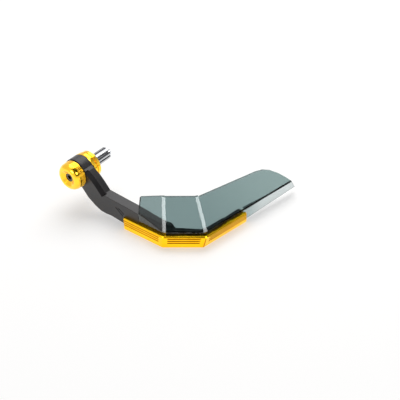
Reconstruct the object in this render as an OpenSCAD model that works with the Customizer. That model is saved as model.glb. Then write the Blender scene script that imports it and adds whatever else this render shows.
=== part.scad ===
// Motorcycle hand guard for the right bar end: a moulded arm is clamped between two turned
// aluminium collars on an expander that grips inside the handlebar, and it carries a folded
// smoked wind deflector under a ribbed trim strip.
// Frame: origin at the centre of the bar's end face, +Y inward along the bar, +X forward, +Z up.

/* [Bar end] */
// Outside diameter of the arm's hub ring and of the inner collar
hub_d = 34; // [30:0.5:40]
// Width of the hub ring along the bar
hub_w = 14; // [11:0.5:18]
// Length of the inner collar between the hub and the bar's end
collar_l = 11; // [9:0.5:16]
// Bevel on the hub ring's edges
hub_edge = 0.8; // [0.4:0.1:1.2]
// Diameter of the collar's bar side, inside its flange
collar_step_d = 32; // [29:0.5:33]
// Width of the collar's flange beside the hub
flange_w = 5; // [4:0.5:7]
// Depth of the turned groove between the flange and the collar's bar side
collar_groove = 1.2; // [0.6:0.1:2]
// Depth of the cone in the collar's bar side
collar_cone = 3; // [2:0.5:4]
// Length of the outer end cap
cap_l = 13.5; // [12:0.5:20]
// Thickness of the cap's floor under the bolt's head
cap_floor = 4; // [3:0.5:6]
// Bevel on the edges of the cap and the collar
turn_edge = 0.6; // [0.3:0.1:0.9]
// Diameter of the end cap where it meets the hub
cap_d = 32.5; // [30:0.5:34]
// Diameter of the end cap's outer rim
cap_tip_d = 22; // [20:0.5:26]
// Height of the cap's rounded shoulder
cap_shoulder = 6.5; // [4:0.5:6.5]
// Depth of the cone in the cap's outer end
cap_dish = 3; // [1.5:0.5:3.5]
// Width of the cap's outer rim round its cone
cap_rim = 1.2; // [0.8:0.1:2]
// Number of fine turned grooves round the end cap
cap_grooves = 5; // [3:1:6]
// Number of pockets round the collar's recessed cone
collar_pockets = 6; // [4:1:8]
// Diameter of one pocket
pocket_d = 4.5; // [3:0.25:5]
// Depth of the pockets from the collar's bar side
pocket_l = 5.5; // [4.5:0.5:7]

/* [Expander] */
// Diameter of the expander sleeve, for a bar of 22 mm with a 16 to 18 mm bore
sleeve_d = 15; // [13.5:0.5:17]
// Length of the sleeve that stands out past the bar's end face
sleeve_out = 25; // [20:1:36]
// Step up from the sleeve to its root inside the collar, on the diameter
root_step = 1.5; // [1:0.25:2.5]
// Number of flutes round the sleeve
sleeve_flutes = 8; // [6:1:12]
// Width of one flute
flute_w = 1.2; // [0.8:0.1:1.6]
// Depth of one flute
flute_deep = 1.1; // [0.6:0.1:1.5]
// Diameter of the centre bolt's thread
bolt_d = 6; // [5:0.5:8]
// Diameter of the centre bolt's head
bolt_head_d = 10; // [8.5:0.5:13]
// Height of the centre bolt's head
bolt_head_h = 6; // [4:0.5:8]
// Width across the flats of the centre bolt's socket
bolt_socket = 5; // [4:1:6]
// Length of the wedge nut's cone
wedge_l = 8; // [6:0.5:10]
// Length of the wedge nut's cone that stands out of the sleeve
wedge_out = 1; // [0.6:0.2:3]
// Length of the wedge nut's round end
nut_end = 1.5; // [1:0.5:4]
// Wall at the mouth of the sleeve round the wedge nut
sleeve_lip = 0.7; // [0.5:0.1:1.2]
// Width of the two cross slots in the sleeve
slot_w = 1; // [0.6:0.1:1]
// Distance from the bar's end face to the start of the cross slots
slot_start = 8; // [4:1:14]
// Running clearance between the turned pieces, on the diameter
turn_clear = 0.2; // [0.1:0.05:0.4]

/* [Arm] */
// Depth of the arm's beam along the bar
beam_w = 12; // [9:0.5:13]
// Distance from the bar axis forward to the bend at the foot of the neck
neck_x = 40; // [36:0.5:46]
// Depth of the beam's top below the bar axis at the foot of the neck
neck_drop = 13; // [11:0.5:15]
// Distance back from the neck's foot to its upper corner
neck_run = 14.5; // [12:0.5:17]
// Height of the neck's upper corner above its foot
neck_rise = 16.2; // [13:0.1:18]
// Depth of the beam's top below the bar axis at the first bend
beam_end_drop = 20.7; // [19:0.1:22]
// Length over which the beam fades into the strap past the first bend
fade_l = 13; // [9:0.5:16]
// Height of the strap that carries the deflector
strap_h = 14; // [12:0.5:15]
// Thickness of the strap
strap_t = 4.5; // [3:0.5:6]
// Depth of the step in the strap's top edge between its last two screws
strap_step = 1.4; // [0.6:0.1:2]
// Thickness of the ribs in the open lattice
rib_t = 1.4; // [1:0.1:2]
// Distance between neighbouring ribs
rib_pitch = 8.5; // [6:0.5:12]
// Depth of the lattice pocket
lattice_deep = 7; // [4:0.5:8]
// Width of the rim round the lattice
rim_w = 2; // [1.5:0.25:3]
// Width of the bevel along the neck's outer top edge
neck_bevel = 4.5; // [2:0.5:5]
// Width of the two slanted lines cut in the beam's outer face
line_w = 1.1; // [0.6:0.1:1.6]
// Depth of the two slanted lines
line_deep = 0.7; // [0.3:0.1:1]
// Width of the boss round each of the first two screws
boss_w = 2; // [1.5:0.25:3]

/* [Deflector] */
// Distance from the bar axis forward to the first bend
bend1_x = 126.5; // [116:0.5:136]
// Length of the middle facet between its bends
mid_l = 45; // [40:1:56]
// Length of the rear facet from the second bend to the deflector's end
tail_l = 134; // [115:1:150]
// Angle of the first bend
bend1_a = 36; // [25:1:42]
// Angle of the second bend
bend2_a = 44; // [38:1:50]
// Thickness of the deflector, measured level
shield_t = 2.5; // [2:0.25:3]
// Height of the deflector's ridge below the bar axis
ridge_drop = 26; // [25:0.5:29]
// Height of the deflector above its ridge at the middle facet
upper_h = 29; // [24:1:34]
// Height of the deflector above its ridge at its starting edge
start_h = 14.5; // [10:0.5:20]
// Height of the ridge at the starting edge above the rest of the ridge
start_rise = 9.5; // [6:0.5:10]
// Distance that the starting edge's top corner lies behind its foot
start_slant = 5; // [0:0.5:8]
// Fall of the rear facet's top edge, in degrees
tail_fall = 3.8; // [1:0.2:6]
// Length of the rear facet over which its top edge curves down to the ridge
tail_round = 39; // [30:1:50]
// Distance that the end's lower corner lies beyond the ridge
end_slant = 8.5; // [4:0.5:12]
// Height of the end's lower corner below the ridge
end_drop = 13; // [10:0.5:16]
// Rise of the rear facet's lower edge towards the end, in degrees
low_rise = 3.7; // [1:0.1:5]
// Length of the lower edge's step down after the second bend
step_l = 34; // [20:1:45]
// Forward distance of the deflector's starting edge
shield_x = 91; // [86:1:94]

/* [Trim strip] */
// Forward distance of the strip's starting end
strip_x = 70.5; // [64:0.5:80]
// Length of the strip's top edge along the rear facet
strip_tail = 59; // [50:0.5:75]
// Slant of the strip's rear end, from its top edge back to its bottom edge
strip_slant = 3; // [0:0.5:5]
// Height of the strip
strip_h = 15.5; // [14:0.5:17]
// Thickness of the strip
strip_t = 4; // [3:0.25:6]
// Width of a groove along the strip
groove_w = 1.6; // [1:0.1:1.8]
// Depth of the grooves along the strip
groove_deep = 0.8; // [0.4:0.1:1.2]
// Number of grooves
groove_n = 3; // [1:1:3]
// Distance from the strip's top edge to its first groove
groove_first = 2.6; // [2:0.1:3.4]
// Distance between the grooves
groove_pitch = 2.8; // [2:0.1:3]
// Width of the bevel along the strip's edges
strip_edge = 1.2; // [0.6:0.1:1.6]

/* [Screws] */
// Diameter of the screws' thread
screw_d = 4; // [3:0.5:4.5]
// Diameter of the button heads
head_d = 7.6; // [6.5:0.1:8.5]
// Height of the button heads
head_h = 2.4; // [1.8:0.1:3]
// Width across the flats of the heads' sockets
socket_af = 2.5; // [2:0.5:3]
// Length of thread in the trim strip
bite = 2.5; // [2:0.25:2.75]
// Clearance between a screw and the hole that it passes through, on the diameter
hole_clear = 0.4; // [0.2:0.1:0.8]

/* [Hidden] */
$fn = 96;
SLOP = 0.1;
hub_r = hub_d / 2;
hub_in = -collar_l;
hub_out = hub_in - hub_w;
cap_out = hub_out - cap_l;
head_seat = hub_out - cap_floor;
skin_y = hub_out;
ridge_z = -ridge_drop;
dirs = [0, bend1_a, bend1_a + bend2_a];
// Lean inward of each facet, below and above the ridge
lean_down = [0, 3, 12];
lean_up = [34, 40.5, 40];
// Corner points of the ridge in plan
ridge_plan = [[0, skin_y], [bend1_x, skin_y],
    [bend1_x, skin_y] + mid_l * [cos(dirs[1]), sin(dirs[1])]];
start_ridge_z = ridge_z + start_rise;
seat_clear = 0.15;
strap_top = ridge_z - 0.5;
strap_low = strap_top - strap_h;
strip_top = ridge_z - 3.5;
strip_low = strip_top - strip_h;
// Lower edge of the deflector behind the strip
shield_low = strip_low + 3.5;
screw_z = (strap_top + strap_low) / 2;
// Places of the screws along their facets
screw1_x = shield_x + screw_d;
screw2_x = bend1_x - 15;
screw_tail = [20, strip_tail - 7];
root_d = sleeve_d + root_step;
root_l = collar_l - collar_cone;
cone_tip_d = bolt_d + 2;
screw_l = strap_t + shield_t + bite;
beam_in = hub_out + beam_w;
neck_z = -neck_drop;
beam_end_z = -beam_end_drop;
beam_end_low = strap_low - 1.5;
// Distance from the first bend at which the beam is cut off on the bend's half plane
mitre = 2;
// Radius of the lattice's round end
lattice_end_r = 14;
// Width of the bevel along the deflector's bends, on each side
bend_w = 1.5;
// Length of the strip's plain pad on each side of a bend
pad_l = 6;
// Distance between the cap's turned grooves
groove_step = 1.15;

// Level unit vectors along a facet and out of it
function along(i) = [cos(dirs[i]), sin(dirs[i])];
function outward(i) = [sin(dirs[i]), -cos(dirs[i])];
// How far a facet stands inward of its ridge at height z, where the ridge is at height rz
function lean(i, z, rz) = z > rz ? (z - rz) * tan(lean_up[i]) : (rz - z) * tan(lean_down[i]);
// A point of a facet, s along it from its corner, at height z, set outward by o
function facet_pt(i, s, z, o, rz = ridge_z) = let (
        p = ridge_plan[i] + s * along(i) + (o - lean(i, z, rz)) * outward(i))
    [p[0], p[1], z];
function cross2(a, b) = a[0] * b[1] - a[1] * b[0];
// Where facets i and i + 1 meet at height z, set outward by o
function bend_pt(i, z, o) = let (
        a = facet_pt(i, 0, z, o),
        b = facet_pt(i + 1, 0, z, o),
        d = [b[0] - a[0], b[1] - a[1]],
        s = cross2(d, along(i + 1)) / cross2(along(i), along(i + 1)))
    [a[0] + s * along(i)[0], a[1] + s * along(i)[1], z];
// The bend's point moved along one of its facets, to bevel the bend
function bend_side(i, z, o, c, after) = let (p = bend_pt(i, z, o), v = after ? along(i + 1) : -along(i))
    [p[0] + c * v[0], p[1] + c * v[1], z];

// Solid through a row of sections: each goes along its outer side and back along its inner side
module loft(sections) {
    n = len(sections[0]);
    m = len(sections);
    points = [for (s = sections) for (p = s) p];
    sides = [for (k = [0:m - 2]) for (j = [0:n - 1])
        for (t = [[k * n + j, k * n + (j + 1) % n, (k + 1) * n + (j + 1) % n],
                  [k * n + j, (k + 1) * n + (j + 1) % n, (k + 1) * n + j]]) t];
    e = (m - 1) * n;
    first = [for (j = [0:n / 2 - 2]) [n - 1 - j, n - 2 - j, j + 1, j]];
    last = [for (j = [0:n / 2 - 2]) [e + j, e + j + 1, e + n - 2 - j, e + n - 1 - j]];
    polyhedron(points, concat(first, sides, last), convexity = 8);
}

// Section of a band: outer holds [height, offset] from the bottom up, and the inner side has one offset
function back(list) = [for (k = [len(list) - 1:-1:0]) list[k]];
function band_at(i, s, outer, inner, slant = 0) = let (
        top = outer[len(outer) - 1][0],
        k = slant / (top - outer[0][0]))
    concat([for (q = outer) facet_pt(i, s + k * (top - q[0]), q[0], q[1])],
        [for (q = back(outer)) facet_pt(i, s + k * (top - q[0]), q[0], inner)]);
function band_bend(i, outer, inner, c, after) = concat(
    [for (q = outer) bend_side(i, q[0], q[1], c, after)],
    [for (q = back(outer)) bend_side(i, q[0], inner, c, after)]);

// Outline of the arm's beam from the side: X forward and Z up, top edge then bottom edge
beam_top = [(hub_r - 2) * [cos(50), sin(50)], [1.06 * hub_r, hub_r / 2],
    [neck_x - neck_run, neck_z + neck_rise], [neck_x - 0.55 * neck_run, neck_z + 0.6 * neck_rise],
    [neck_x, neck_z], [shield_x - 0.7 * neck_run, 1.23 * neck_z],
    [bend1_x - strap_h, 0.95 * beam_end_z], [bend1_x + mitre, beam_end_z]];
beam_low = [[bend1_x + mitre, beam_end_low], [bend1_x - 4 * strap_h, strap_low],
    [neck_x + 0.62 * neck_run, strap_low + 0.18 * strap_h],
    [neck_x + 0.14 * neck_run, strap_low + 0.14 * strap_h],
    [neck_x - 0.41 * neck_run, strap_low + 0.18 * strap_h],
    [neck_x - neck_run, strap_low + 0.46 * strap_h],
    [hub_r - 2, strap_top], (hub_r - 2) * [cos(70), -sin(70)]];
// Upper end of the first slanted line on the beam's outer face, and the distance to the second
line_start = [neck_x + 1.2 * neck_run, 1.7 * neck_z];
line_gap = 0.28 * neck_run;
lines = [[line_start, [line_start[0] + 0.7 * neck_run, strip_top - line_w]],
    [line_start + [line_gap, 0], [strip_x - line_w, strip_top + 2 * line_w]]];

module arm_beam() {
    difference() {
        translate([0, beam_in, 0]) rotate([90, 0, 0]) linear_extrude(beam_w)
            polygon(concat(beam_top, beam_low));
        for (i = [1:3]) neck_edge(beam_top[i], beam_top[i + 1]);
        for (l = lines) face_line(l[0], l[1]);
        past_bend();
    }
}

// Space beyond the plane that halves the first bend, set back by the mitre's distance
module past_bend() {
    translate([bend1_x - mitre, hub_out, 0]) rotate([0, 0, 90 + bend1_a / 2])
        translate([-beam_w, -3 * beam_w, -bend1_x]) cube([3 * beam_w, 3 * beam_w, 2 * bend1_x]);
}

// Turns and moves children so that +X runs from a to b on the beam's outer face
module on_face(a, b) {
    translate([a[0], hub_out, a[1]]) rotate([0, -atan2(b[1] - a[1], b[0] - a[0]), 0]) children();
}

// Wedge that takes off the neck's outer top corner between two points of its outline
module neck_edge(a, b) {
    over = 1.5;
    bevel = [0.8 * neck_bevel, neck_bevel];
    on_face(a, b) translate([-over, 0, 0]) rotate([90, 0, 90]) linear_extrude(norm(b - a) + 2 * over)
        polygon([[-0.4 * bevel[0], -1.4 * bevel[1]], [1.4 * bevel[0], 0.4 * bevel[1]], [-2, bevel[1]]]);
}

module face_line(a, b) {
    on_face(a, b) translate([0, -SLOP, -line_w / 2]) cube([norm(b - a), line_deep + SLOP, line_w]);
}

module lattice_area() {
    end_x = bend1_x - mitre - beam_w * tan(bend1_a / 2) - rim_w - lattice_end_r;
    difference() {
        intersection() {
            offset(delta = -rim_w) polygon(concat(beam_top, beam_low));
            union() {
                translate([0, -bend1_x]) square([end_x, 2 * bend1_x]);
                translate([end_x, (beam_end_z + beam_end_low) / 2]) circle(r = lattice_end_r);
            }
        }
        circle(r = hub_r + rim_w);
        for (x = [screw1_x, screw2_x]) translate([x, screw_z]) circle(d = head_d + 2 * boss_w);
    }
}

module lattice_ribs() {
    for (a = [32, -58]) for (k = [-12:12])
        rotate(a) translate([-60, k * rib_pitch - rib_t / 2]) square([220, rib_t]);
}

module lattice_pocket() {
    translate([0, beam_in + SLOP, 0]) rotate([90, 0, 0]) linear_extrude(lattice_deep + SLOP)
        difference() {
            lattice_area();
            lattice_ribs();
        }
}

// Section of the strap in the rear facet, its top edge lowered by drop
function strap_at(s, drop) = band_at(2, s, [[strap_low, -shield_t], [strap_top - drop, -shield_t]],
    -shield_t - strap_t);
// The same where it ends round about the last screw
function strap_end(a) = let (h = strap_h / 2)
    band_at(2, screw_tail[1] + h * sin(a),
        [for (z = [screw_z - h * cos(a), screw_z + h * cos(a)]) [z, -shield_t]], -shield_t - strap_t);

module strap() {
    outer = [for (z = [strap_low, strap_top]) [z, -shield_t]];
    inner = -shield_t - strap_t;
    step = screw_tail[0] + 1.4 * head_d;
    loft(concat(
        [band_at(0, screw2_x, outer, inner)],
        [for (i = [0, 1]) for (after = [false, true]) band_bend(i, outer, inner, mitre, after)],
        [strap_at(step, 0), strap_at(step + 1, strap_step)],
        [for (a = [0:12:84]) strap_end(a)]));
}

// Upright point at the first bend, set in by d and moved c along one of its facets
function upright(d, z, c, after) = let (
        h = bend1_a / 2,
        p = [bend1_x, skin_y] + d / cos(h) * [-sin(h), cos(h)] + c * (after ? along(1) : -along(0)))
    [p[0], p[1], z];

// Section of the beam's end where it runs round the bend, from full at t = 0 to just inside the strap at 1
function fade_at(c, after, t) = let (
        k = t * t * (3 - 2 * t),
        under = 0.2,
        top = beam_end_z + k * (strap_top - under - beam_end_z),
        low = beam_end_low + k * (strap_low + under - beam_end_low),
        mid = min(ridge_z, top - 1),
        d = beam_w + k * (shield_t + strap_t - under - beam_w))
    concat([for (z = [low, mid, top]) bend_side(0, z, -shield_t - seat_clear, c, after)],
        [for (z = [top, mid, low]) upright(d, z, c, after)]);

module beam_fade() {
    loft(concat([fade_at(mitre + 1, false, 0), fade_at(mitre, true, 0)],
        [for (k = [1:6]) fade_at(mitre + k / 6 * (fade_l - mitre), true, k / 6)]));
}

// Places children at screw k with +Z along the screw from its head to its tip
module at_screw(k) {
    i = k < 2 ? 0 : k == 2 ? 1 : 2;
    s = k == 0 ? screw1_x : k == 1 ? screw2_x : k == 2 ? mid_l / 2 : screw_tail[k - 3];
    inner = facet_pt(i, s, screw_z, -shield_t - strap_t);
    translate(inner) rotate([0, 0, dirs[i] - 90]) rotate([0, 90 + lean_down[i], 0]) children();
}

module arm() {
    color([0.12, 0.12, 0.13]) difference() {
        union() {
            translate([0, hub_in, 0]) rotate([90, 0, 0]) rotate_extrude()
                polygon([[0, 0], [hub_r - hub_edge, 0], [hub_r, hub_edge], [hub_r, hub_w - hub_edge],
                    [hub_r - hub_edge, hub_w], [0, hub_w]]);
            difference() {
                arm_beam();
                lattice_pocket();
                shield_seat();
            }
            beam_fade();
            strap();
        }
        translate([0, hub_in + SLOP, 0]) rotate([90, 0, 0])
            cylinder(h = hub_w + 2 * SLOP, d = bolt_d + hole_clear);
        for (k = [0:4]) at_screw(k) translate([0, 0, -beam_w])
            cylinder(h = 3 * beam_w, d = screw_d + hole_clear, $fn = 24);
        for (k = [0:1]) at_screw(k) translate([0, 0, -beam_w])
            cylinder(h = beam_w, d = head_d + 2 * hole_clear, $fn = 32);
    }
}

module end_cap() {
    rim_r = cap_tip_d / 2;
    floor_l = cap_l - cap_dish;
    color([0.95, 0.72, 0.1]) translate([0, hub_out, 0]) rotate([90, 0, 0]) difference() {
        rotate_extrude() difference() {
            polygon(concat([[0, 0], [cap_d / 2 - turn_edge, 0], [cap_d / 2, turn_edge]],
                [for (a = [0:15:90])
                    [rim_r + (cap_d / 2 - rim_r) * cos(a), cap_l - cap_shoulder * (1 - sin(a))]],
                [[rim_r - cap_rim, cap_l], [bolt_head_d / 2 + turn_edge, floor_l], [0, floor_l]]));
            for (g = [1:cap_grooves]) translate([cap_d / 2, turn_edge + g * groove_step])
                circle(r = 0.3 * groove_step, $fn = 16);
        }
        translate([0, 0, -SLOP]) cylinder(h = cap_l, d = bolt_d + hole_clear);
        translate([0, 0, cap_floor]) cylinder(h = cap_l, d = bolt_head_d + hole_clear);
    }
}

module inner_collar() {
    side_r = collar_step_d / 2;
    side_l = collar_l - flange_w;
    cone_r = side_r - 2 * turn_edge;
    foot_r = root_d / 2 + 2 * turn_edge;
    color([0.95, 0.72, 0.1]) rotate([90, 0, 0]) difference() {
        rotate_extrude() polygon([[0, collar_l], [hub_r - turn_edge, collar_l],
            [hub_r, collar_l - turn_edge], [hub_r, side_l + turn_edge], [hub_r - turn_edge, side_l],
            [side_r - collar_groove, side_l - turn_edge], [side_r - collar_groove, side_l - 2 * turn_edge],
            [side_r, side_l - 3 * turn_edge], [side_r, turn_edge], [side_r - turn_edge, 0],
            [cone_r, 0], [foot_r, collar_cone], [0, collar_cone]]);
        translate([0, 0, -SLOP]) cylinder(h = root_l + SLOP, d = root_d + turn_clear);
        cylinder(h = collar_l + SLOP, d = bolt_d + hole_clear);
        for (k = [0:collar_pockets - 1]) rotate(k * 360 / collar_pockets)
            translate([(cone_r + foot_r) / 2, 0, -SLOP])
                cylinder(h = pocket_l + SLOP, d = pocket_d, $fn = 24);
    }
}

module expander_sleeve() {
    cone_l = wedge_l - wedge_out;
    color([0.85, 0.86, 0.88]) rotate([-90, 0, 0]) difference() {
        union() {
            translate([0, 0, -root_l]) cylinder(h = root_l, d = root_d);
            cylinder(h = sleeve_out, d = sleeve_d);
        }
        translate([0, 0, -root_l - SLOP])
            cylinder(h = root_l + sleeve_out + 2 * SLOP, d = bolt_d + hole_clear);
        translate([0, 0, sleeve_out - cone_l])
            cylinder(h = cone_l + SLOP, d1 = cone_tip_d, d2 = sleeve_d - 2 * sleeve_lip);
        for (k = [0:sleeve_flutes - 1]) rotate(k * 360 / sleeve_flutes)
            translate([sleeve_d / 2 - flute_deep, -flute_w / 2, 0])
                cube([flute_deep + 1, flute_w, sleeve_out + 1]);
        for (a = [0, 90]) rotate(a)
            translate([-sleeve_d, -slot_w / 2, slot_start]) cube([2 * sleeve_d, slot_w, sleeve_out]);
    }
}

module wedge_nut() {
    wide = sleeve_d - 2 * sleeve_lip;
    start = sleeve_out - wedge_l + wedge_out;
    color([0.75, 0.76, 0.78]) translate([0, start, 0]) rotate([-90, 0, 0]) difference() {
        union() {
            cylinder(h = wedge_l, d1 = cone_tip_d, d2 = wide);
            translate([0, 0, wedge_l]) cylinder(h = nut_end, d = wide);
        }
        translate([0, 0, -SLOP]) cylinder(h = wedge_l + nut_end + 2 * SLOP, d = bolt_d);
    }
}

module centre_bolt() {
    color([0.3, 0.3, 0.32]) translate([0, head_seat, 0]) rotate([-90, 0, 0]) difference() {
        union() {
            cylinder(h = sleeve_out + wedge_out + nut_end + turn_edge - head_seat, d = bolt_d);
            translate([0, 0, -bolt_head_h]) cylinder(h = bolt_head_h, d = bolt_head_d);
        }
        translate([0, 0, -bolt_head_h - SLOP])
            cylinder(h = bolt_head_h / 2 + SLOP, d = bolt_socket / cos(30), $fn = 6);
    }
}

// One section of the deflector, up its outer side and down its inner side. Its lower edge, its ridge
// and its top each have their own place along the facet.
function shell_at(i, s, low, top, rz, o1, o0) = concat(
    [facet_pt(i, s[0], low, o1, rz), facet_pt(i, s[1], rz, o1, rz), facet_pt(i, s[2], top, o1, rz)],
    [facet_pt(i, s[2], top, o0, rz), facet_pt(i, s[1], rz, o0, rz), facet_pt(i, s[0], low, o0, rz)]);
function shell_bend(i, low, top, c, after, o1, o0) = concat(
    [for (z = [low, ridge_z, top]) bend_side(i, z, o1, c, after)],
    [for (z = [top, ridge_z, low]) bend_side(i, z, o0, c, after)]);
function shield_at(i, s, low, top, rz = ridge_z) = shell_at(i, s, low, top, rz, 0, -shield_t);
function shield_bend(i, low, top, c, after) = shell_bend(i, low, top, c, after, 0, -shield_t);

// Height of the rear facet's top edge, straight and then curved down to the ridge
round_s = tail_l - tail_round;
function line_top(s) = ridge_z + upper_h - s * tan(tail_fall);
function tail_top(s) = line_top(s) - (s > round_s
    ? (line_top(tail_l) - ridge_z - 0.5) * pow((s - round_s) / tail_round, 2.3) : 0);
// Height of its lower edge, after a smooth step down from the middle facet's
step_s = 5;
function line_low(s) = ridge_z - end_drop - (tail_l + end_slant - s) * tan(low_rise);
function tail_low(s) = let (t = min(1, (s - step_s) / step_l), low = shield_low)
    low + (line_low(max(s, step_s + step_l)) - low) * t * t * (3 - 2 * t);
function tail_at(s) = let (low_s = s + end_slant * max(0, s - round_s) / tail_round)
    shield_at(2, [low_s, s, s], tail_low(low_s), tail_top(s));

// Space that the deflector takes from the beam's outer side, as far as the first bend
module shield_seat() {
    over = 12;
    o0 = -shield_t - seat_clear;
    s = shield_x - seat_clear;
    low = strap_low - over;
    top_s = s - start_slant * over / start_h;
    loft([shell_at(0, [s, s, top_s], low, start_ridge_z + over, start_ridge_z, over, o0),
          shell_bend(0, low, ridge_z + over, bend_w, false, over, o0),
          shell_bend(0, low, ridge_z + over, bend_w, true, over, o0)]);
}

module shield() {
    top = ridge_z + upper_h;
    low = shield_low;
    color([0.35, 0.45, 0.48, 0.6]) difference() {
        loft(concat(
            [shield_at(0, [shield_x, shield_x, shield_x - start_slant], low,
                start_ridge_z + start_h, start_ridge_z),
             shield_bend(0, low, top, bend_w, false),
             shield_bend(0, low, top, bend_w, true),
             shield_bend(1, low, top, bend_w, false),
             shield_bend(1, low, top, bend_w, true)],
            [for (k = [0:4]) tail_at(step_s + k * step_l / 4)],
            [tail_at((step_s + step_l + round_s) / 2)],
            [for (k = [0:6]) tail_at(round_s + tail_round * sin(k * 15))]));
        for (k = [0:4]) at_screw(k) translate([0, 0, -strap_t])
            cylinder(h = 20, d = screw_d + hole_clear, $fn = 24);
    }
}

// Face of the strip from its bottom up, with or without its grooves
function strip_face(g) = concat(
    [[strip_low, strip_t - strip_edge], [strip_low + strip_edge, strip_t]],
    [for (k = [groove_n - 1:-1:0]) let (z = strip_top - groove_first - k * groove_pitch)
        for (q = [[-1 / 2, 0], [-1 / 6, g], [1 / 6, g], [1 / 2, 0]]) [z + q[0] * groove_w, strip_t - q[1]]],
    [[strip_top - strip_edge, strip_t], [strip_top, strip_t - strip_edge]]);
// The same face set back at the strip's ends
function strip_end_face() = [for (q = strip_face(0)) [q[0], q[1] - strip_edge]];

module trim_strip() {
    plain = strip_face(0);
    cut = strip_face(groove_deep);
    near = groove_w / 2;
    color([0.95, 0.72, 0.1]) difference() {
        loft(concat(
            [band_at(0, strip_x, strip_end_face(), 0), band_at(0, strip_x + strip_edge, cut, 0)],
            [for (i = [0, 1]) for (q = [[pad_l, false], [pad_l - near, false], [near, false],
                                        [near, true], [pad_l - near, true], [pad_l, true]])
                band_bend(i, q[0] == pad_l ? cut : plain, 0, q[0], q[1])],
            [band_at(2, strip_tail - strip_edge, cut, 0, strip_slant),
             band_at(2, strip_tail, strip_end_face(), 0, strip_slant)]));
        for (k = [0:4]) at_screw(k) cylinder(h = screw_l + turn_clear, d = screw_d, $fn = 24);
    }
}

module shield_screw(k) {
    color([0.8, 0.8, 0.82]) at_screw(k) difference() {
        union() {
            cylinder(h = screw_l, d = screw_d);
            translate([0, 0, -head_h]) rotate_extrude()
                polygon(concat([[0, head_h], [head_d / 2, head_h]],
                    [for (a = [0:15:60]) [head_d / 2 * cos(a), (head_h - 0.4) * (1 - sin(a) / sin(60))]],
                    [[0, 0]]));
        }
        translate([0, 0, -head_h - SLOP]) cylinder(h = head_h * 0.6 + SLOP, d = socket_af / cos(30), $fn = 6);
    }
}

arm();
end_cap();
inner_collar();
expander_sleeve();
wedge_nut();
centre_bolt();
shield();
trim_strip();
shield_screw(0);  // shield_screw_1
shield_screw(1);  // shield_screw_2
shield_screw(2);  // shield_screw_3
shield_screw(3);  // shield_screw_4
shield_screw(4);  // shield_screw_5
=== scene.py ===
"""Looks of a motorcycle hand guard: gold fittings, a moulded arm, a smoked deflector and a ribbed strip."""
import math

import bmesh
import bpy
from mathutils import Matrix, Vector

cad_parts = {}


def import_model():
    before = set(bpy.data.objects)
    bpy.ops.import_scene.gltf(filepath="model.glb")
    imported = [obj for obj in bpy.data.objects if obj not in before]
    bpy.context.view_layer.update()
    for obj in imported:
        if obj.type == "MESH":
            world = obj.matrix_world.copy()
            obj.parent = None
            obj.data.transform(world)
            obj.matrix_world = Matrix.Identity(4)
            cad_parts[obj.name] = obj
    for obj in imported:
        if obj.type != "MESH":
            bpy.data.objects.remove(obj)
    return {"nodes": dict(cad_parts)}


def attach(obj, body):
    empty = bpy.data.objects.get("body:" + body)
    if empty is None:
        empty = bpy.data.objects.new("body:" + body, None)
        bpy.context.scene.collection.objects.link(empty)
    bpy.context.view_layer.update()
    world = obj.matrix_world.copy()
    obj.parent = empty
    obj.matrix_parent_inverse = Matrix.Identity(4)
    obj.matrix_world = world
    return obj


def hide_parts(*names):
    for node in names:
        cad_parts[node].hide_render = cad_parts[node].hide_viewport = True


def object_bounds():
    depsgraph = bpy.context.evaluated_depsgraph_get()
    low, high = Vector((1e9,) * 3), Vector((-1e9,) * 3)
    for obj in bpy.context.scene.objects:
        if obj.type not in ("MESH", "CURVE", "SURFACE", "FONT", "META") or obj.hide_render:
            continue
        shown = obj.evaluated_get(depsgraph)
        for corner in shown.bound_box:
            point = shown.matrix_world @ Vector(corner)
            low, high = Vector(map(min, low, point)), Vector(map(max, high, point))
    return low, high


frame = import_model()
nodes = frame["nodes"]
cad_box = [list(corner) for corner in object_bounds()]

MM = 0.001

# Where the deflector's two bends stand
BEND_1 = Vector((126.5, -25, -20)) * MM
BEND_2 = Vector((162.9, 1.5, -20)) * MM
# Directions of the deflector's three facets in plan, in degrees from +X
FACETS = (0, 36, 80)
# How far each facet leans inward below its ridge, in degrees
LEANS = (0, 3, 12)
# Thickness of the strip outside the sheet
STRIP_T = 4 * MM
RIDGE_Z = -26 * MM
# Place along +Y at which the strip ends and the deflector's bare lower panel starts
STRIP_END_Y = BEND_2.y + 58 * MM
# Heights between which the strip's grooves lie
GROOVE_LOW = -38.6 * MM
GROOVE_HIGH = -31.3 * MM
# Shares of the strip's thickness between which its grooves' faces lie
GROOVE_DEEP = 0.7
GROOVE_SHALLOW = 0.97
# The flat across each bend of the sheet is between these wide
FLAT_LEAST = 2 * MM
FLAT_MOST = 4 * MM
# How much further than the solid's the flat of each bend reaches along the facets
BEND_REACH = 0.7 * MM
# Distances past the second bend of two sections of the solid; at the top the first lies before the bend
CROSSED_AT = 5 * MM
NEXT_AT = 13.5 * MM
# How near a vertex lies to its section, and the height above which it is on the sheet's top edge
SECTION_NEAR = 0.4 * MM
TOP_EDGE_Z = 1 * MM
# Length along +Y over which the sheet's tone lightens past the second bend, a painted light
TONE_RUN = 120 * MM
# Length along +Y over which the lower panel's painted light grows and the ridge's dark line of painted shade
# gets finer
PANEL_RUN = 34 * MM
RIDGE_SHADE_START = 1.4 * MM
RIDGE_SHADE_END = 0.35 * MM
# How far the lower panel's painted light takes to begin, along +Y and to each side of the ridge
PANEL_SOFT_Y = 2 * MM
PANEL_SOFT_Z = 0.3 * MM
# Stretch of the arm along +X where the beam's outer face is the outermost
BEAM_START = 40 * MM
BEAM_END = 70 * MM
# Stretch of the two slanted lines along +X, and how far behind the outer face their faces lie
LINES_START = 50 * MM
LINES_END = 78 * MM
LINE_SHALLOW = 0.1 * MM
LINE_DEEP = 1.2 * MM
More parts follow.
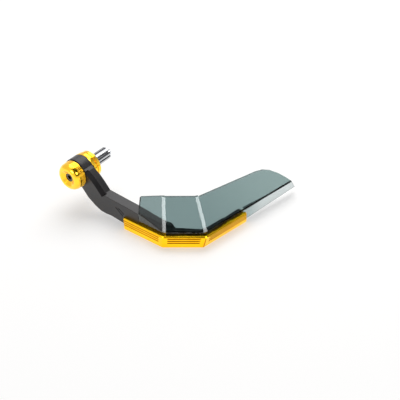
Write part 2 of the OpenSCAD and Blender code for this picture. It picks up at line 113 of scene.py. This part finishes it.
# Where the neck's bevel ends along +X, and how far behind the outer face it reaches
BEVEL_END = 60 * MM
BEVEL_DEEP = 4 * MM
# Radius of the sleeve under which a face belongs to a flute or a slot
FLUTE_TOP_R = 7.3 * MM
# An edge is rounded where it is longer than this many widths of its round
LONG_EDGE = 4
# How near two vertices lie to be one, and within how many degrees faces are one flat
SAME_PLACE = 0.002 * MM
SAME_FLAT = 0.3
# Least share of a direction that a normal has where its face looks that way, and most where it is edge-on
FACING = 0.5
EDGE_ON = 0.3
# Least share of a direction that an edge has where it runs that way
SAME_WAY = 0.999
# The bevel's normal lies between the first two along Y, and over the third along Z
BEVEL_Y_LEAST = -0.95
BEVEL_Y_MOST = -0.3
BEVEL_Z_LEAST = 0.1

# The photograph's camera: its direction round the guard, its distance and what it looks at
VIEW_AZIMUTH = math.radians(38.68)
VIEW_ELEVATION = math.radians(36.85)
VIEW_ROLL = math.radians(-1.76)
VIEW_DISTANCE = 0.99966
VIEW_TARGET = Vector((0.1183, 0.0486, -0.0306))
VIEW_LENS = 79.75

# The floor, half as wide as this in metres, lies a hair below the guard
FLOOR_HALF = 6
FLOOR_Z = cad_box[0][2] - 0.5 * MM
# The floor's colour as it is seen, and the glow that lifts it to white for the camera and for mirrors
FLOOR_SEEN = (0.63, 0.625, 0.62, 1)
FLOOR_LIFT = 0.47
FLOOR_LIFT_MIRRORED = 0.90
# Strength of the surroundings as a light and as they are seen
SKY_LIGHT = 0.30
SKY_SEEN = 1.0
# Point below the middle of the card that runs along the bar's axis
LONG_CARD_AIM = Vector((0, -200, 0)) * MM


def link(obj):
    bpy.context.scene.collection.objects.link(obj)
    return obj


def camera():
    """Camera at the photograph's place, turned by its slight roll."""
    back = Vector((math.sin(VIEW_AZIMUTH) * math.cos(VIEW_ELEVATION),
                   -math.cos(VIEW_AZIMUTH) * math.cos(VIEW_ELEVATION),
                   math.sin(VIEW_ELEVATION)))
    level = Vector((math.cos(VIEW_AZIMUTH), math.sin(VIEW_AZIMUTH), 0))
    upright = back.cross(level)
    right = level * math.cos(VIEW_ROLL) + upright * math.sin(VIEW_ROLL)
    up = upright * math.cos(VIEW_ROLL) - level * math.sin(VIEW_ROLL)
    data = bpy.data.cameras.new("photo_camera")
    data.lens = VIEW_LENS
    data.sensor_width = 36
    data.clip_start = 0.01
    data.clip_end = 20
    cam = link(bpy.data.objects.new("photo_camera", data))
    turn = Matrix((right, up, back)).transposed().to_4x4()
    cam.matrix_world = Matrix.Translation(VIEW_TARGET + VIEW_DISTANCE * back) @ turn
    bpy.context.scene.camera = cam


class Shade:
    """A material's node tree, with short calls for the nodes that these finishes use."""

    def __init__(self, name):
        self.material = bpy.data.materials.new(name)
        self.material.use_nodes = True
        self.tree = self.material.node_tree
        self.surface = self.tree.nodes["Principled BSDF"]
        self.output = self.tree.nodes["Material Output"]
        self.place = self.tree.nodes.new("ShaderNodeTexCoord").outputs["Object"]

    def add(self, kind, **settings):
        node = self.tree.nodes.new("ShaderNode" + kind)
        for key, value in settings.items():
            setattr(node, key, value)
        return node

    def wire(self, source, target):
        self.tree.links.new(source, target)

    def fill(self, target, value):
        if hasattr(value, "is_output"):
            self.wire(value, target)
        else:
            target.default_value = value

    def plain(self, **values):
        for key, value in values.items():
            self.surface.inputs[key.replace("_", " ")].default_value = value

    def math(self, operation, first, second=0.0):
        node = self.add("Math", operation=operation)
        self.fill(node.inputs[0], first)
        self.fill(node.inputs[1], second)
        return node.outputs[0]

    def axis(self, letter):
        node = self.add("SeparateXYZ")
        self.wire(self.place, node.inputs[0])
        return node.outputs[letter]

    def mapped(self, scale):
        node = self.add("Mapping")
        self.wire(self.place, node.inputs["Vector"])
        node.inputs["Scale"].default_value = scale
        return node.outputs[0]

    def noise(self, scale, detail, where=None):
        node = self.add("TexNoise")
        self.wire(where or self.place, node.inputs["Vector"])
        node.inputs["Scale"].default_value = scale
        node.inputs["Detail"].default_value = detail
        return node.outputs["Fac"]

    def ramp(self, value, stops):
        node = self.add("ValToRGB")
        self.wire(value, node.inputs[0])
        band = node.color_ramp
        while len(band.elements) < len(stops):
            band.elements.new(0.5)
        for element, (at, colour) in zip(band.elements, stops):
            element.position = at
            element.color = (*colour, 1)
        return node.outputs["Color"]

    def spread(self, value, low, high):
        """Runs from low to high as the value goes from 0 to 1."""
        node = self.add("MapRange")
        self.wire(value, node.inputs["Value"])
        node.inputs["To Min"].default_value = low
        node.inputs["To Max"].default_value = high
        return node.outputs["Result"]

    def between(self, value, start, end, low=0.0, high=1.0):
        """Runs from low to high as the value goes from start to end, and stays there."""
        node = self.add("MapRange", interpolation_type="SMOOTHSTEP")
        self.wire(value, node.inputs["Value"])
        for key, number in (("From Min", start), ("From Max", end), ("To Min", low), ("To Max", high)):
            node.inputs[key].default_value = number
        return node.outputs["Result"]

    def blend(self, share, first, second):
        """The first colour where the share is 0 and the second where it is 1."""
        node = self.add("Mix", data_type="RGBA")
        self.wire(share, node.inputs[0])
        for socket, colour in ((node.inputs[6], first), (node.inputs[7], second)):
            self.fill(socket, (*colour, 1) if isinstance(colour, tuple) else colour)
        return node.outputs[2]

    def bump(self, height, strength, distance):
        node = self.add("Bump")
        node.inputs["Strength"].default_value = strength
        node.inputs["Distance"].default_value = distance
        self.wire(height, node.inputs["Height"])
        return node.outputs[0]


def moulded_nylon(name, dark, light, shine):
    """Black glass-filled nylon: fine spark grain and half-matt, slightly cloudy from the mould."""
    s = Shade(name)
    grain = s.noise(scale=2600, detail=2)
    cloud = s.noise(scale=90, detail=3)
    s.wire(s.ramp(cloud, [(0.3, dark), (0.7, light)]), s.surface.inputs["Base Color"])
    s.wire(s.spread(cloud, 0.36, 0.46), s.surface.inputs["Roughness"])
    s.wire(s.bump(grain, strength=0.25, distance=0.2 * MM), s.surface.inputs["Normal"])
    s.plain(Specular_IOR_Level=shine)
    return s.material


GOLD_TONES = [(0.3, (0.90, 0.50, 0.008)), (0.7, (0.97, 0.57, 0.014))]
# Darker gold tones for painted shade in the strip's grooves
GROOVE_PAINTED_SHADE_TONES = [(0.3, (0.52, 0.20, 0.001)), (0.7, (0.62, 0.26, 0.002))]


def turned_gold():
    """Gold anodised aluminium turned on a lathe about the bar's axis, with fine rings."""
    s = Shade("turned_gold")
    x = s.axis("X")
    z = s.axis("Z")
    radius = s.math("SQRT", s.math("ADD", s.math("MULTIPLY", x, x), s.math("MULTIPLY", z, z)))
    rings = s.add("CombineXYZ")
    s.wire(radius, rings.inputs["X"])
    s.wire(s.axis("Y"), rings.inputs["Y"])
    marks = s.noise(scale=9000, detail=2, where=rings.outputs[0])
    cloud = s.noise(scale=70, detail=2)
    s.wire(s.ramp(cloud, GOLD_TONES), s.surface.inputs["Base Color"])
    s.wire(s.spread(marks, 0.16, 0.26), s.surface.inputs["Roughness"])
    round_the_axis = s.add("CombineXYZ")
    s.wire(z, round_the_axis.inputs["X"])
    s.wire(s.math("MULTIPLY", x, -1.0), round_the_axis.inputs["Z"])
    s.wire(round_the_axis.outputs[0], s.surface.inputs["Tangent"])
    s.plain(Metallic=1.0, Anisotropic=0.75, Anisotropic_Rotation=0.25)
    s.plain(Coat_Weight=0.5, Coat_Roughness=0.12)
    return s.material


def milled_gold(name, tones):
    """Gold anodised aluminium with the faint grain of an extruded and milled bar."""
    s = Shade(name)
    grain = s.noise(scale=1500, detail=3, where=s.mapped((1, 1, 6)))
    cloud = s.noise(scale=45, detail=2)
    s.wire(s.ramp(cloud, tones), s.surface.inputs["Base Color"])
    s.wire(s.spread(grain, 0.2, 0.32), s.surface.inputs["Roughness"])
    s.wire(s.bump(grain, strength=0.08, distance=0.08 * MM), s.surface.inputs["Normal"])
    s.plain(Metallic=1.0)
    return s.material


def bright_steel(name, dark, light):
    """Bright zinc-plated steel with fine turning marks, between a darker and a lighter tone."""
    s = Shade(name)
    marks = s.noise(scale=2400, detail=2, where=s.mapped((0.15, 3, 0.15)))
    s.wire(s.ramp(marks, [(0.3, dark), (0.7, light)]), s.surface.inputs["Base Color"])
    s.wire(s.spread(marks, 0.1, 0.2), s.surface.inputs["Roughness"])
    s.plain(Metallic=1.0)
    return s.material


def steel_with_painted_reflections():
    """Bright steel of the sleeve, with dark and light streaks along the bar's axis that are painted
    reflections.
    """
    s = Shade("steel_with_painted_reflections")
    streaks = s.noise(scale=420, detail=2, where=s.mapped((1, 0.02, 1)))
    # Near-black to grey streaks in the base colour: painted reflections of dark and light surroundings
    s.wire(s.ramp(streaks, [(0.40, (0.05, 0.05, 0.055)), (0.60, (0.55, 0.56, 0.58))]),
           s.surface.inputs["Base Color"])
    s.wire(s.spread(streaks, 0.15, 0.3), s.surface.inputs["Roughness"])
    s.plain(Metallic=1.0)
    return s.material


def dark_steel():
    """Blackened steel of the centre bolt."""
    s = Shade("dark_steel")
    cloud = s.noise(scale=400, detail=3)
    s.wire(s.ramp(cloud, [(0.3, (0.07, 0.06, 0.05)), (0.7, (0.13, 0.11, 0.09))]),
           s.surface.inputs["Base Color"])
    s.wire(s.spread(cloud, 0.2, 0.35), s.surface.inputs["Roughness"])
    s.plain(Metallic=1.0)
    return s.material


def smoked_sheet(name, near, far, panel_painted_light):
    """Smoked polycarbonate, glossy and tinted grey-green: near tone to the second bend, lightening to the far
    tone past it, and this lightening is painted light.

    Past the strip a dark line of painted shade parts the bare panel below the ridge, which lightens to the
    panel tone as painted light.
    """
    s = Shade(name)
    waves = s.noise(scale=26, detail=2)
    s.wire(s.bump(waves, strength=0.05, distance=1 * MM), s.surface.inputs["Normal"])
    y = s.axis("Y")
    z = s.axis("Z")
    panel_end = STRIP_END_Y + PANEL_RUN
    # The sheet lightens from the near to the far tone along +Y: painted light
    along = s.between(y, BEND_2.y, BEND_2.y + TONE_RUN)
    bare = s.between(y, STRIP_END_Y - PANEL_SOFT_Y, STRIP_END_Y)
    below = s.math("MULTIPLY", bare, s.between(z, RIDGE_Z + PANEL_SOFT_Z, RIDGE_Z - PANEL_SOFT_Z))
    # The bare lower panel lightens to the panel tone: painted light
    painted_panel_light = s.blend(s.between(y, STRIP_END_Y, panel_end), far, panel_painted_light)
    tone = s.blend(below, s.ramp(along, [(0.0, near), (1.0, far)]), painted_panel_light)
    # Past the strip, a near-black line along the ridge: painted shade at the fold
    off_ridge = s.math("ABSOLUTE", s.math("SUBTRACT", z, RIDGE_Z))
    shade_half_width = s.between(y, STRIP_END_Y, panel_end, RIDGE_SHADE_START, RIDGE_SHADE_END)
    painted_shade_mask = s.math("MULTIPLY", bare, s.math("LESS_THAN", off_ridge, shade_half_width))
    s.wire(s.blend(painted_shade_mask, tone, (0.010, 0.014, 0.014)), s.surface.inputs["Base Color"])
    s.wire(s.spread(waves, 0.02, 0.05), s.surface.inputs["Roughness"])
    s.plain(Transmission_Weight=1.0, IOR=1.5)
    return s.material


def seen_rays(tree):
    """1 for a camera, mirror or see-through ray, and 0 for one that lights the guard."""
    path = tree.nodes.new("ShaderNodeLightPath")
    level = path.outputs["Is Camera Ray"]
    for ray in ("Is Glossy Ray", "Is Transmission Ray"):
        larger = tree.nodes.new("ShaderNodeMath")
        larger.operation = "MAXIMUM"
        tree.links.new(level, larger.inputs[0])
        tree.links.new(path.outputs[ray], larger.inputs[1])
        level = larger.outputs[0]
    return level


def white_floor():
    """Matt white, lifted to pure white where it is seen, with the guard's soft shadow kept."""
    s = Shade("white_floor")
    s.plain(Base_Color=(0.85, 0.85, 0.85, 1), Roughness=0.9, Specular_IOR_Level=0.0)
    shaded = s.add("BsdfDiffuse")
    shaded.inputs["Color"].default_value = FLOOR_SEEN
    lift = s.add("Emission")
    lift.inputs["Color"].default_value = (1, 1, 1, 1)
    mirrored = s.add("LightPath").outputs["Is Glossy Ray"]
    s.wire(s.spread(mirrored, FLOOR_LIFT, FLOOR_LIFT_MIRRORED), lift.inputs["Strength"])
    both = s.add("AddShader")
    s.wire(shaded.outputs[0], both.inputs[0])
    s.wire(lift.outputs[0], both.inputs[1])
    pick = s.add("MixShader")
    s.wire(seen_rays(s.tree), pick.inputs["Fac"])
    s.wire(s.surface.outputs[0], pick.inputs[1])
    s.wire(both.outputs[0], pick.inputs[2])
    s.wire(pick.outputs[0], s.output.inputs["Surface"])
    return s.material


def stage():
    """Plain white floor under the guard."""
    floor = flat_piece("studio_floor", FLOOR_HALF)
    floor.data.transform(Matrix.Translation((0, 0, FLOOR_Z)))
    floor.data.materials.append(white_floor())


def flat_piece(name, half):
    """A square sheet about the origin, half as wide as it says on each side."""
    mesh = bpy.data.meshes.new(name)
    bm = bmesh.new()
    bmesh.ops.create_grid(bm, x_segments=1, y_segments=1, size=half)
    bm.to_mesh(mesh)
    bm.free()
    return link(bpy.data.objects.new(name, mesh))


def world():
    """White surroundings, dim as light and bright where they are seen."""
    w = bpy.data.worlds.new("studio_world")
    bpy.context.scene.world = w
    w.use_nodes = True
    tree = w.node_tree
    background = tree.nodes["Background"]
    background.inputs["Color"].default_value = (1, 1, 1, 1)
    level = tree.nodes.new("ShaderNodeMapRange")
    level.inputs["To Min"].default_value = SKY_LIGHT
    level.inputs["To Max"].default_value = SKY_SEEN
    tree.links.new(seen_rays(tree), level.inputs["Value"])
    tree.links.new(level.outputs["Result"], background.inputs["Strength"])


def facing(aim, way, distance):
    """Place that looks at aim from the direction way."""
    out = Vector(way).normalized()
    return Matrix.Translation(aim + distance * out) @ out.to_track_quat("Z", "Y").to_matrix().to_4x4()


def lamp(name, aim, way, distance, size, glow, matt=True):
    """A softbox of an even glow. Without matt it only shines off glossy surfaces."""
    data = bpy.data.lights.new(name, "AREA")
    data.shape = "RECTANGLE"
    data.size, data.size_y = size
    data.energy = glow * math.pi * size[0] * size[1]
    obj = link(bpy.data.objects.new(name, data))
    obj.matrix_world = facing(aim, way, distance)
    obj.visible_diffuse = matt


def dark_card(name, aim, way, distance, size):
    """A black card that only glossy surfaces mirror: it gives metal and the sheet their dark tones."""
    card = flat_piece(name, 0.5)
    card.data.transform(Matrix.Diagonal((*size, 1, 1)))
    card.data.transform(facing(aim, way, distance))
    s = Shade(name)
    s.plain(Base_Color=(0.01, 0.01, 0.01, 1), Roughness=1.0, Specular_IOR_Level=0.0)
    card.data.materials.append(s.material)
    for ray in ("camera", "diffuse", "transmission", "volume_scatter", "shadow"):
        setattr(card, "visible_" + ray, False)


def lights():
    """A broad light above and behind, two that shine off the deflector's bends, and dark cards."""
    lamp("top_softbox", BEND_1, way=(-0.2, 0.42, 0.88), distance=2.6, size=(2.3, 2.3), glow=3.3)
    lamp("right_softbox", BEND_2, way=(0.720, -0.137, 0.678), distance=1.2, size=(0.42, 0.34),
         glow=8, matt=False)
    lamp("front_softbox", BEND_1, way=(0.03, -0.80, 0.60), distance=1.2, size=(0.34, 0.34),
         glow=8, matt=False)
    dark_card("right_card", BEND_2, way=(0.60, -0.06, 0.80), distance=1.8, size=(2.9, 2.6))
    dark_card("long_card", LONG_CARD_AIM, way=(0.33, 0, 0.9), distance=0.96, size=(2.0, 0.06))


def merged(node_name):
    """Copy of a CAD node's mesh with its loose triangles joined and its flat faces made whole."""
    bm = bmesh.new()
    bm.from_mesh(nodes[node_name].data)
    bmesh.ops.remove_doubles(bm, verts=bm.verts, dist=SAME_PLACE)
    if node_name == "shield":
        unfold(bm)
    bmesh.ops.dissolve_limit(bm, angle_limit=math.radians(SAME_FLAT), verts=bm.verts, edges=bm.edges)
    return bm


def level_way(degrees):
    angle = math.radians(degrees)
    return Vector((math.cos(angle), math.sin(angle), 0))


def unfold(bm):
    """Take out the tab that the solid has beside the second bend's top, by joining one section to the next."""
    along = level_way(FACETS[2])

    def top_verts(reach):
        return [vert for vert in bm.verts
                if vert.co.z > TOP_EDGE_Z and abs((vert.co - BEND_2).dot(along) - reach) < SECTION_NEAR]

    crossed = top_verts(CROSSED_AT)
    kept = top_verts(NEXT_AT)
    step = (NEXT_AT - CROSSED_AT) * along
    nearest = {vert: min(kept, key=lambda other: (other.co - vert.co - step).length) for vert in crossed}
    bmesh.ops.weld_verts(bm, targetmap=nearest)
    bm.normal_update()


def broad_bends(bm):
    """Draw the flat of each bend out along the facets on the sheet's outer side."""
    for before, after in zip(FACETS, FACETS[1:]):
        across = level_way((before + after) / 2)
        out = level_way((before + after) / 2 - 90)
        rungs = [e for e in bm.edges
                 if FLAT_LEAST < e.calc_length() < FLAT_MOST
                 and abs((e.verts[1].co - e.verts[0].co).normalized().dot(across)) > SAME_WAY
                 and any(f.normal.dot(out) > FACING for f in e.link_faces)]
        for rung in rungs:
            ends = sorted(rung.verts, key=lambda v: v.co.dot(across))
            ends[0].co -= BEND_REACH * level_way(before)
            ends[1].co += BEND_REACH * level_way(after)
    bm.normal_update()


def facet_at(point):
    """Number of the facet that a point of the sheet or the strip lies in."""
    return 0 if point.x < BEND_1.x else 1 if point.y < BEND_2.y else 2


def dark_rim(bm):
    """Give the sheet's cut edges, which hold its outward direction, the second finish."""
    for face in bm.faces:
        out = level_way(FACETS[facet_at(face.calc_center_median())] - 90)
        if abs(face.normal.dot(out)) < EDGE_ON:
            face.material_index = 1


def paint_flute_shade(bm):
    """Give the floors and walls of the sleeve's flutes and slots the dark steel of painted shade in these
    recesses.
    """
    for face in bm.faces:
        middle = face.calc_center_median()
        across = Vector((middle.x, 0, middle.z))
        if across.length < FLUTE_TOP_R and abs(face.normal.y) < FACING:
            face.material_index = 1


def paint_line_shade(bm):
    """Give the neck's bevel and the two slanted lines, just behind the outer face, the darker nylon of painted
    shade.
    """
    outer_y = min(vert.co.y for vert in bm.verts if BEAM_START < vert.co.x < BEAM_END)
    for face in bm.faces:
        middle = face.calc_center_median()
        depth = middle.y - outer_y
        painted_shade_mask = LINES_START < middle.x < LINES_END and LINE_SHALLOW < depth < LINE_DEEP
        slanted = BEVEL_Y_LEAST < face.normal.y < BEVEL_Y_MOST and face.normal.z > BEVEL_Z_LEAST
        bevel = slanted and middle.x < BEVEL_END and depth < BEVEL_DEEP
        if painted_shade_mask or bevel:
            face.material_index = 1


def paint_groove_shade(bm):
    """Give the strip's grooves, which lie behind its outer face, the darker gold of painted shade."""
    for face in bm.faces:
        middle = face.calc_center_median()
        k = facet_at(middle)
        corner = (BEND_2 if k == 2 else BEND_1).xy
        proud = (middle.xy - corner).dot(level_way(FACETS[k] - 90).xy)
        proud += (RIDGE_Z - middle.z) * math.tan(math.radians(LEANS[k]))
        in_depth = GROOVE_DEEP * STRIP_T < proud < GROOVE_SHALLOW * STRIP_T
        if in_depth and GROOVE_LOW < middle.z < GROOVE_HIGH:
            face.material_index = 1


def break_edges(bm, width, least_angle, segments, flat_angle):
    """Round the long sharp edges, and keep the faces beside them flat in shade.

    Faces that meet at less than flat_angle are shaded as one curved surface.
    """
    sharp = [e for e in bm.edges if len(e.link_faces) == 2 and e.calc_length() > LONG_EDGE * width
             and e.calc_face_angle(0) > math.radians(least_angle)]
    made = bmesh.ops.bevel(bm, geom=sharp, offset=width, offset_type="OFFSET", segments=segments,
                           profile=0.5, affect="EDGES", clamp_overlap=False, material=-1)
    rounds = set(made["faces"])
    for face in bm.faces:
        face.smooth = True
    for edge in bm.edges:
        rounded = sum(face in rounds for face in edge.link_faces)
        edge.smooth = rounded == 2 or (rounded == 0 and edge.calc_face_angle(0) < math.radians(flat_angle))


def dressed(node_name, piece_name, finishes, edges, steps):
    """The node's own shape with its sharp edges broken by a small round, which stands for the node."""
    bm = merged(node_name)
    for step in steps:
        step(bm)
    break_edges(bm, *edges)
    mesh = bpy.data.meshes.new(piece_name)
    bm.to_mesh(mesh)
    bm.free()
    for finish in finishes:
        mesh.materials.append(finish)
    piece = link(bpy.data.objects.new(piece_name, mesh))
    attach(piece, "root")
    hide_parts(node_name)


camera()
stage()
world()
lights()

# Finishes, each with its darker and lighter tone or its tones along the sheet; the groove, line and flute
# finishes are painted shade
nylon = moulded_nylon("moulded_nylon", (0.017, 0.016, 0.017), (0.027, 0.025, 0.026), 0.38)
# Darker, less shiny nylon that paints the shade on the neck's bevel and in the two slanted lines
line_painted_shade_nylon = moulded_nylon("line_painted_shade_nylon", (0.006, 0.005, 0.006), (0.010, 0.009, 0.010), 0.15)
lathe_gold = turned_gold()
bar_gold = milled_gold("milled_gold", GOLD_TONES)
# Darker gold that paints the shade in the strip's grooves
groove_painted_shade_gold = milled_gold("groove_painted_shade_gold", GROOVE_PAINTED_SHADE_TONES)
steel = bright_steel("bright_steel", (0.70, 0.71, 0.73), (0.84, 0.85, 0.87))
# Sleeve steel whose dark and light streaks are painted reflections
sleeve_steel = steel_with_painted_reflections()
# Dark steel that paints the shade in the sleeve's flutes and slots
flute_painted_shade_steel = bright_steel("flute_painted_shade_steel", (0.08, 0.08, 0.085), (0.16, 0.16, 0.17))
black_steel = dark_steel()
# Tones of the sheet and its rim: near, far and lower panel; the lightening to the far and panel tones is
# painted light
smoke = smoked_sheet("smoked_sheet", (0.15, 0.21, 0.21), (0.20, 0.27, 0.265), (0.38, 0.42, 0.42))
smoke_rim = smoked_sheet("smoked_rim", (0.04, 0.06, 0.06), (0.07, 0.10, 0.10), (0.06, 0.07, 0.07))

# Each piece's edges: width of the round, least angle that is rounded, its steps, and the flat angle
dressed("arm", "moulded_arm", [nylon, line_painted_shade_nylon], (0.3 * MM, 25, 2, 12), [paint_line_shade])
dressed("trim_strip", "ribbed_strip", [bar_gold, groove_painted_shade_gold], (0.1 * MM, 25, 2, 2),
        [paint_groove_shade])
dressed("shield", "deflector", [smoke, smoke_rim], (0.15 * MM, 12, 2, 1), [broad_bends, dark_rim])
dressed("expander_sleeve", "fluted_sleeve", [sleeve_steel, flute_painted_shade_steel],
        (0.5 * MM, 50, 3, 12), [paint_flute_shade])

# Finishes of the solids that are shown as they are
CARRIED = {"end_cap": lathe_gold, "inner_collar": lathe_gold}
CARRIED.update({"wedge_nut": steel, "centre_bolt": black_steel})
CARRIED.update({f"shield_screw_{k}": steel for k in range(1, 6)})
for name, finish in CARRIED.items():
    for place in nodes[name].material_slots:
        place.material = finish

bpy.context.scene.view_settings.view_transform = "Standard"
